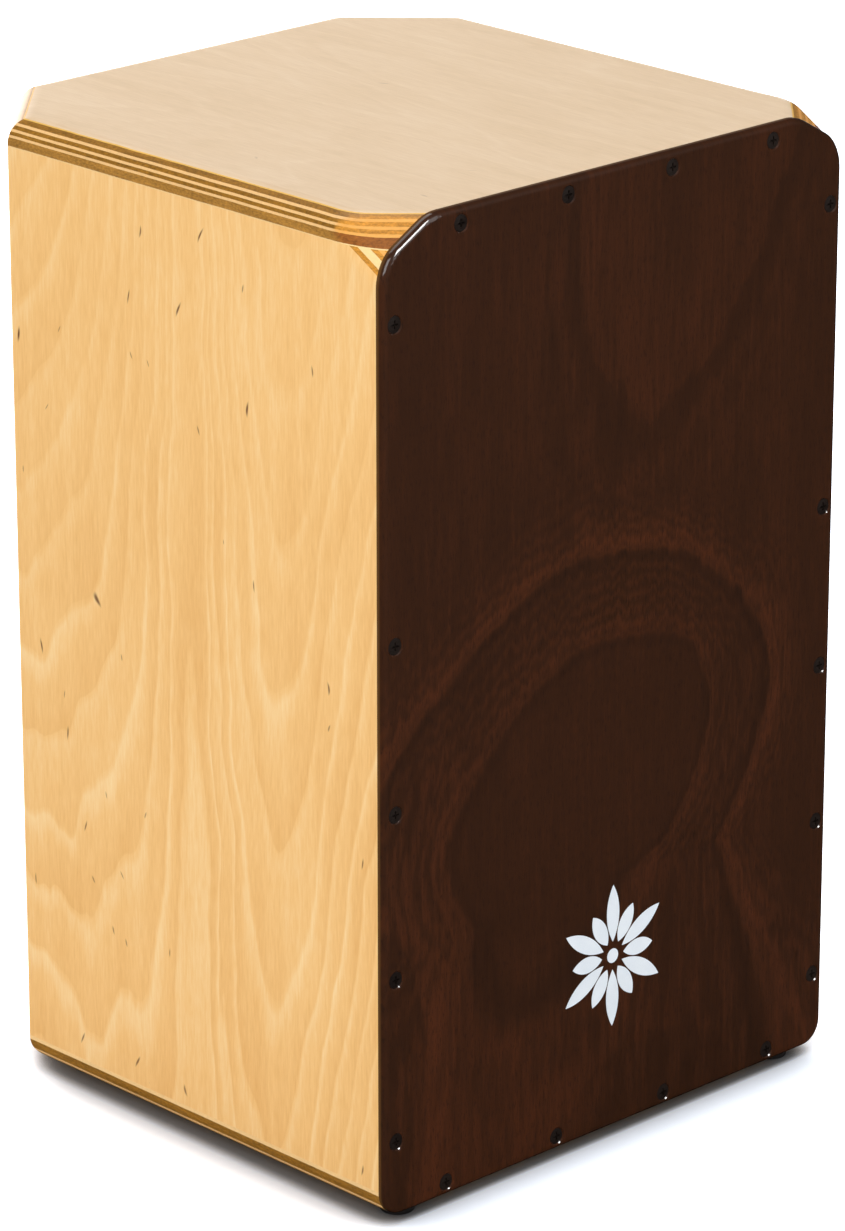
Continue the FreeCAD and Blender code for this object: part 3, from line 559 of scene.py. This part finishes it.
def paint_everything():
    """A material for every CAD node, by its name or by its slot in the record."""
    by_slot = {slot: speckled(slot, *finish) for slot, finish in SMALL_FINISHES.items()}
    by_node = {
        "tapa": tapa_material("tapa_board"),
        # the seat's tones carry painted sheen from the overhead light
        "seat_panel": flat_material("seat_ply", lambda graph: SEAT_TOP - graph.z,
                                    SEAT_PLIES, SEAT_SHEEN_TONES, seed=5.0, figure=0.35),
        "base_panel": flat_material("base_ply", lambda graph: graph.z - BASE_BOTTOM,
                                    BASE_PLIES, SIDE_TONES, seed=8.0, figure=1.0),
        "side_panel_left": side_material("side_ply_left", -1),
        "side_panel_right": side_material("side_ply_right", 1),
        "rear_corner_panel_left": corner_material("corner_ply_left", -1),
        "rear_corner_panel_right": corner_material("corner_ply_right", 1),
        "back_panel": back_material("back_ply"),
    }
    slots = {row["node"]: row["material_slot"] for row in frame["record"]["subparts"]}
    for name in NODES:
        paint(name, by_node.get(name) or by_slot[slots[name]])
    return by_slot


# ---- snare wires ---------------------------------------------------------------------------------
COIL_WIRE = 0.28 * MM         # radius of the wire itself
COIL_PITCH = 1.5 * MM
COIL_STEPS = 10               # points per turn
COIL_SIDES = 5                # corners of the wire's own cross-section


def rod_ends(points):
    """Middle of each rod's round end, given the points of one end of a row of rods side by side along x."""
    groups = []
    for point in sorted(points, key=lambda p: p.x):
        if not groups or point.x - groups[-1][-1].x > MM:
            groups.append([])
        groups[-1].append(point)
    return [sum(group, Vector()) / len(group) for group in groups]


def coil(start, end, radius):
    """Vertices and faces of a close coil from start to end."""
    axis = (end - start).normalized()
    side = axis.cross(Vector((0, 1, 0))).normalized()
    up = axis.cross(side)
    turns = (end - start).length / COIL_PITCH
    count = int(turns * COIL_STEPS)
    vertices, faces = [], []
    for i in range(count + 1):
        turn = 2 * math.pi * i / COIL_STEPS
        outward = side * math.cos(turn) + up * math.sin(turn)
        centre = start + axis * (COIL_PITCH * i / COIL_STEPS) + outward * (radius - COIL_WIRE)
        for k in range(COIL_SIDES):
            angle = 2 * math.pi * k / COIL_SIDES
            vertices.append(centre + (outward * math.cos(angle) + axis * math.sin(angle)) * COIL_WIRE)
        if i:
            for k in range(COIL_SIDES):
                a, b = (i - 1) * COIL_SIDES + k, (i - 1) * COIL_SIDES + (k + 1) % COIL_SIDES
                faces.append((a, b, b + COIL_SIDES, a + COIL_SIDES))
    return vertices, faces


def snare_coils(side, material):
    """Coiled wires in place of the plain rods of one fan."""
    node = f"snare_wires_{side}"
    points = [vertex.co for vertex in NODES[node].data.vertices]
    low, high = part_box(node)
    middle = (low.z + high.z) / 2
    starts = rod_ends([p for p in points if p.z < middle])
    ends = rod_ends([p for p in points if p.z > middle])
    radius = (starts[0].x - low.x) if starts[0].x < ends[0].x else (ends[0].x - low.x)
    vertices, faces = [], []
    for start, end in zip(starts, ends):
        more_vertices, more_faces = coil(start, end, radius)
        offset = len(vertices)
        vertices += more_vertices
        faces += [tuple(offset + i for i in face) for face in more_faces]
    mesh = bpy.data.meshes.new(f"snare_coils_{side}")
    mesh.from_pydata(vertices, [], faces)
    mesh.shade_smooth()
    mesh.materials.append(material)
    piece = bpy.data.objects.new(f"snare_coils_{side}", mesh)
    bpy.context.scene.collection.objects.link(piece)
    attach(piece, "snare_unit")
    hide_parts(node)


# ---- stage, light and camera ---------------------------------------------------------------------
FLOOR_REACH = 6.0             # half its side, in metres
FLOOR_CAMERA, FLOOR_DIFFUSE, FLOOR_GLOSSY = 2.3, 1.0, 1.5       # whiter than white: it is overexposed
FLOOR_WARM, FLOOR_COOL = 0.95, 1.08       # its red and blue, so that the shadow is slightly blue
SHADOW_REACH = 0.045          # how far from the drum its contact shadow is deepened
SHADOW_OPEN = (0.30, 0.86)    # share of open sky at which the shadow is deepest, and gone
SHADOW_DEEPEST = 0.08


def floor():
    """Plain pale floor that darkens close to the drum. Reflections see it only behind the drum and to its
    right, as if black cards lay elsewhere. Seen from underneath it isn't there."""
    mesh = bpy.data.meshes.new("floor")
    corners = ((-1, -1), (1, -1), (1, 1), (-1, 1))
    mesh.from_pydata([(x * FLOOR_REACH, y * FLOOR_REACH, 0) for x, y in corners], [], [(0, 1, 2, 3)])
    plane = bpy.data.objects.new("floor", mesh)
    bpy.context.scene.collection.objects.link(plane)
    graph = Graph("floor_white")
    path = graph.add("ShaderNodeLightPath")
    glossy = Value(graph, path.outputs["Is Glossy Ray"])
    seen = Value(graph, path.outputs["Is Camera Ray"])
    near = graph.add("ShaderNodeAmbientOcclusion")
    near.inputs["Distance"].default_value = SHADOW_REACH
    contact = Value(graph, near.outputs["AO"]).between(*SHADOW_OPEN, SHADOW_DEEPEST, smooth=False)
    level = FLOOR_DIFFUSE + seen * (FLOOR_CAMERA * contact - FLOOR_DIFFUSE)
    level = level + glossy * (FLOOR_GLOSSY - FLOOR_DIFFUSE)
    tinted = graph.join(level * FLOOR_WARM, level, level * FLOOR_COOL)
    graph.finish(Base_Color=tinted, Roughness=0.8, Specular_IOR_Level=0.0)
    behind = graph.y.between(0.4, 1.0) * graph.x.between(-0.2, 0.3)
    dark = graph.add("ShaderNodeBsdfDiffuse")
    dark.inputs["Color"].default_value = (0.0, 0.0, 0.0, 1)
    mixer = graph.add("ShaderNodeMixShader")
    graph.feed(mixer.inputs[0], glossy * (1 - behind))
    graph.tree.links.new(graph.surface.outputs[0], mixer.inputs[1])
    graph.tree.links.new(dark.outputs[0], mixer.inputs[2])
    below = graph.add("ShaderNodeMixShader")
    graph.feed(below.inputs[0], graph.add("ShaderNodeNewGeometry").outputs["Backfacing"])
    graph.tree.links.new(mixer.outputs[0], below.inputs[1])
    graph.tree.links.new(graph.add("ShaderNodeBsdfTransparent").outputs[0], below.inputs[2])
    output = next(n for n in graph.tree.nodes if n.type == "OUTPUT_MATERIAL")
    graph.tree.links.new(below.outputs[0], output.inputs["Surface"])
    mesh.materials.append(graph.material)


WORLD_CAMERA, WORLD_DIFFUSE = 1.2, 0.42       # how bright the surround is to the eye, and as light
WORLD_GLOSSY_FRONT, WORLD_GLOSSY_BACK = 0.010, 0.1      # and in reflections


def world():
    """White surround. Reflections see it nearly black, and a little brighter low down behind the drum."""
    scene_world = bpy.data.worlds.new("studio")
    bpy.context.scene.world = scene_world
    scene_world.use_nodes = True
    tree = scene_world.node_tree
    background = tree.nodes["Background"]
    background.inputs["Color"].default_value = (1.0, 1.0, 1.0, 1)

    def node(kind, **inputs):
        made = tree.nodes.new(kind)
        for name, value in inputs.items():
            socket = made.inputs[name.replace("_", " ")]
            if isinstance(value, bpy.types.NodeSocket):
                tree.links.new(value, socket)
            else:
                socket.default_value = value
        return made

    generated = tree.nodes.new("ShaderNodeTexCoord").outputs["Generated"]
    direction = node("ShaderNodeSeparateXYZ", Vector=generated)
    path = tree.nodes.new("ShaderNodeLightPath").outputs
    low = node("ShaderNodeMapRange", Value=direction.outputs["Z"], From_Min=0.4, From_Max=0.6,
               To_Min=WORLD_GLOSSY_BACK, To_Max=WORLD_GLOSSY_FRONT)
    reflected = node("ShaderNodeMapRange", Value=direction.outputs["Y"], From_Min=0.1, From_Max=0.4,
                     To_Min=WORLD_GLOSSY_FRONT, To_Max=low.outputs[0])
    indirect = node("ShaderNodeMapRange", Value=path["Is Glossy Ray"], To_Min=WORLD_DIFFUSE,
                    To_Max=reflected.outputs[0])
    level = node("ShaderNodeMapRange", Value=path["Is Camera Ray"], To_Min=indirect.outputs[0],
                 To_Max=WORLD_CAMERA)
    tree.links.new(level.outputs[0], background.inputs["Strength"])


def softbox(name, place, aim, width, height, power, only_on=None, reflected=True):
    """Rectangular area lamp at place, turned to aim. only_on names the one node that reflects it, and then
    it lights no surface; reflected is whether shiny surfaces show it at all."""
    lamp = bpy.data.lights.new(name, "AREA")
    lamp.shape = "RECTANGLE"
    lamp.size = width
    lamp.size_y = height
    lamp.energy = power
    holder = bpy.data.objects.new(name, lamp)
    holder.location = place
    holder.rotation_euler = (Vector(aim) - Vector(place)).to_track_quat("-Z", "Y").to_euler()
    holder.visible_glossy = reflected
    if only_on:
        holder.visible_diffuse = False
        receivers = bpy.data.collections.new(f"{name}_receivers")
        receivers.objects.link(NODES[only_on])
        holder.light_linking.receiver_collection = receivers
    bpy.context.scene.collection.objects.link(holder)


def lights():
    """Soft light from the left, above, the front and behind, and two lamps that only show as reflections,
    one in the tapa and one in the seat."""
    softbox("key_left", (-2.2, -1.2, 1.9), (-0.1, 0, 0.25), 1.6, 1.6, 40)
    softbox("top", (0.0, 0.6, 2.2), (0, 0, 0.4), 1.8, 1.2, 15)
    softbox("front", (0.8, -2.4, 1.3), (0, 0, 0.25), 1.6, 1.6, 15)
    softbox("edge_light", (0.2, -2.1, 1.85), (-0.14, -0.15, 0.48), 0.9, 0.9, 80, only_on="tapa")
    softbox("back_card", (1.3, 2.3, 0.35), (0, 0, 0.45), 2.6, 0.9, 22, only_on="seat_panel")
    softbox("rear_fill", (0.5, 2.4, 0.9), (0, 0, 0.25), 1.0, 1.0, 30, reflected=False)


CAMERA_AZIMUTH = -43.85       # degrees round from straight in front
CAMERA_ELEVATION = 19.71
CAMERA_DISTANCE = 2.8916
CAMERA_ASIDE = 0.01795        # the aim point, right of and above the middle of the body's bottom
CAMERA_ABOVE = 0.21187
CAMERA_LENS = 168.59          # on a frame 36 mm high
CAMERA_SHIFT = (-0.0036, -0.0034)


def camera():
    """Long-lens camera at the front left corner."""
    turn, rise = math.radians(CAMERA_AZIMUTH), math.radians(CAMERA_ELEVATION)
    back = Vector((math.sin(turn) * math.cos(rise), -math.cos(turn) * math.cos(rise), math.sin(rise)))
    right = Vector((math.cos(turn), math.sin(turn), 0))
    up = back.cross(right)
    start = Vector((0, (FRONT_Y + BACK_Y) / 2, BASE_BOTTOM))
    place = start + right * CAMERA_ASIDE + up * CAMERA_ABOVE + back * CAMERA_DISTANCE
    data = bpy.data.cameras.new("camera")
    data.sensor_fit = "VERTICAL"
    data.sensor_height = 36.0
    data.lens = CAMERA_LENS
    data.shift_x, data.shift_y = CAMERA_SHIFT
    view = bpy.data.objects.new("camera", data)
    view.matrix_world = Matrix.Translation(place) @ Matrix((right, up, back)).transposed().to_4x4()
    bpy.context.scene.collection.objects.link(view)
    bpy.context.scene.camera = view


slot_materials = paint_everything()
for side in ("left", "right"):
    snare_coils(side, slot_materials["snare_wire"])
floor()
world()
lights()
camera()
bpy.context.scene.view_settings.view_transform = "Standard"
